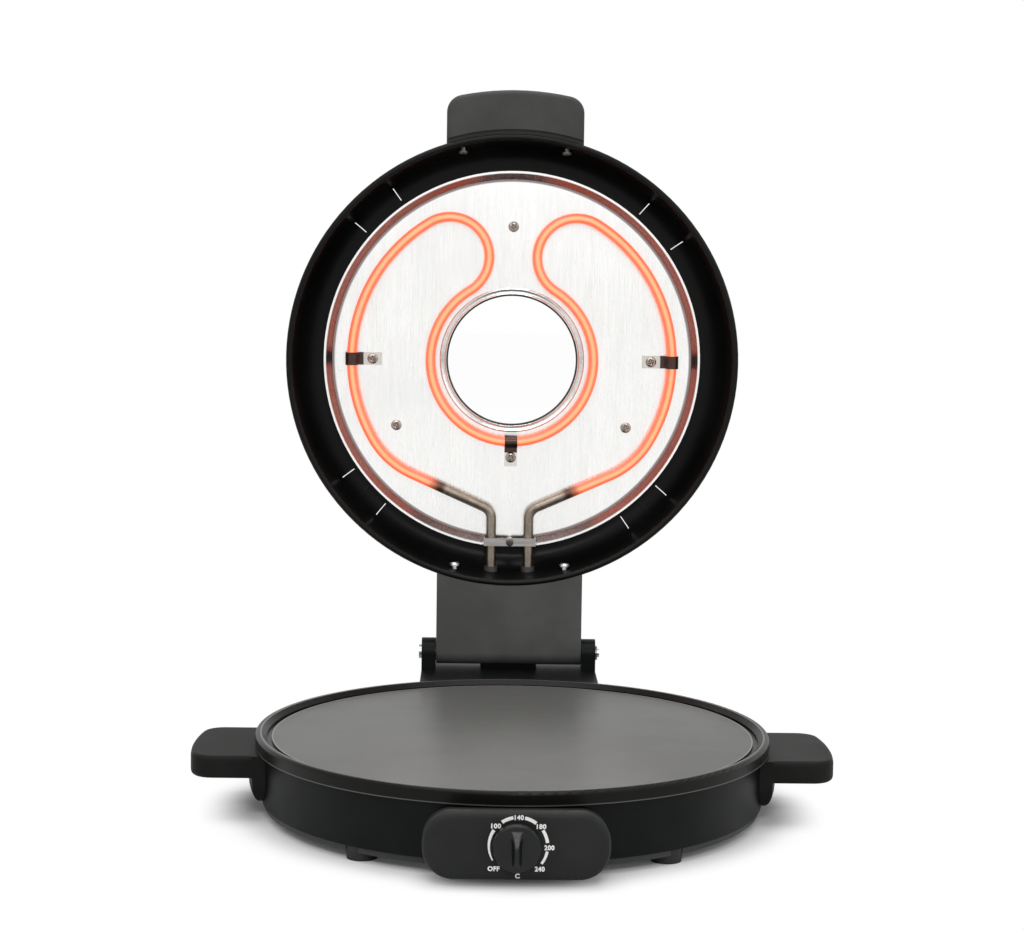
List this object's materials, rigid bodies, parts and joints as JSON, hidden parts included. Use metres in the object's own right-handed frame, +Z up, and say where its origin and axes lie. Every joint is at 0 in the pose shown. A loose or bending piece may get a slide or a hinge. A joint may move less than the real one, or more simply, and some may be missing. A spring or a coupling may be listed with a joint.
{
  "type": "electric roti maker",
  "caption": "Round electric roti maker: coated hot plate on a casing with side handles and a dial knob, under a hinged lid with a glass window, reflector and bent tubular heater.",
  "frame": {"origin": "bottom centre of the bounding box with the lid open: the foot plane is Z 0, X 0 is the plane of symmetry and Y 0 the middle of the footprint", "axes": "+Z up, square to the cooking surface; -Y towards the control panel; +X to the right seen from the panel"},
  "size_m": [0.399, 0.4342, 0.4582],
  "materials": {
    "housing": "satin black moulding",
    "cover_sheet": "satin grey sheet",
    "foot_rubber": "matte",
    "zinc_screw": "zinc plated",
    "bright_screw": "bright plated",
    "plate_coating": "cast, coated non-stick, satin",
    "heater_steel": "oxidised tube",
    "clamp_sheet": "bare sheet",
    "shield_sheet": "bare sheet",
    "handle_plastic": "satin dark grey moulding",
    "panel_plastic": "satin dark moulding with a white printed dial",
    "knob_plastic": "satin moulding",
    "ceramic": "unglazed",
    "copper": "drawn copper",
    "cutout_body": "moulded",
    "clip_steel": "spring steel",
    "lid_paint": "satin black",
    "arm_plastic": "satin grey-black moulding",
    "window_glass": "clear toughened",
    "gasket": "woven seal",
    "bright_steel": "bright sheet",
    "reflector_steel": "brushed up and down",
    "lid_heater": "glowing orange, its cold ends brown"
  },
  "bodies": {
    "base": {"base_housing": "housing", "bottom_cover": "cover_sheet", "rubber_feet": "foot_rubber", "foot_screws": "zinc_screw", "cover_screws": "zinc_screw", "hot_plate": "plate_coating", "plate_studs": "zinc_screw", "plate_nuts": "zinc_screw", "plate_element": "heater_steel", "clamp_plate": "clamp_sheet", "heat_shield": "shield_sheet", "shield_spacers": "zinc_screw", "shield_screws": "zinc_screw", "left_handle": "handle_plastic", "right_handle": "handle_plastic", "handle_screws": "zinc_screw", "control_panel": "panel_plastic", "panel_screws": "zinc_screw", "thermostat": "ceramic", "thermostat_bracket": "shield_sheet", "bracket_screws": "zinc_screw", "sensor_bulb": "copper", "thermal_cutout": "cutout_body", "cutout_screws": "zinc_screw", "rear_block": "housing", "rear_block_screws": "zinc_screw", "hinge_pin": "zinc_screw", "pin_clip": "clip_steel", "cord_gland": "foot_rubber", "terminal_block": "ceramic"},
    "lid": {"lid_shell": "lid_paint", "window_glass": "window_glass", "window_gaskets": "gasket", "window_collar": "bright_steel", "window_retainer": "shield_sheet", "window_bezel": "lid_paint", "window_screws": "zinc_screw", "reflector_plate": "reflector_steel", "reflector_spacers": "zinc_screw", "reflector_screws": "bright_screw", "lid_element": "lid_heater", "element_clips": "bright_steel", "clip_screws": "bright_screw", "terminal_strap": "bright_steel", "strap_screw": "zinc_screw", "element_insulators": "ceramic", "element_terminals": "zinc_screw", "lid_handle": "handle_plastic", "lid_handle_screws": "zinc_screw", "hinge_arm": "arm_plastic", "hinge_arm_screws": "zinc_screw", "arm_cover": "housing", "arm_cover_screws": "zinc_screw"},
    "knob": {"knob": "knob_plastic", "thermostat_shaft": "zinc_screw"}
  },
  "joints": [
    {"name": "lid_hinge", "type": "hinge", "parent": "base", "child": "lid", "pos_m": [0, 0.18825, 0.06], "axis": [1, 0, 0], "range_deg": [0, 90]},
    {"name": "knob_turn", "type": "hinge", "parent": "base", "child": "knob", "pos_m": [0, -0.20505, 0.0267], "axis": [0, -1, 0], "range_deg": [-137, 132]}
  ]
}
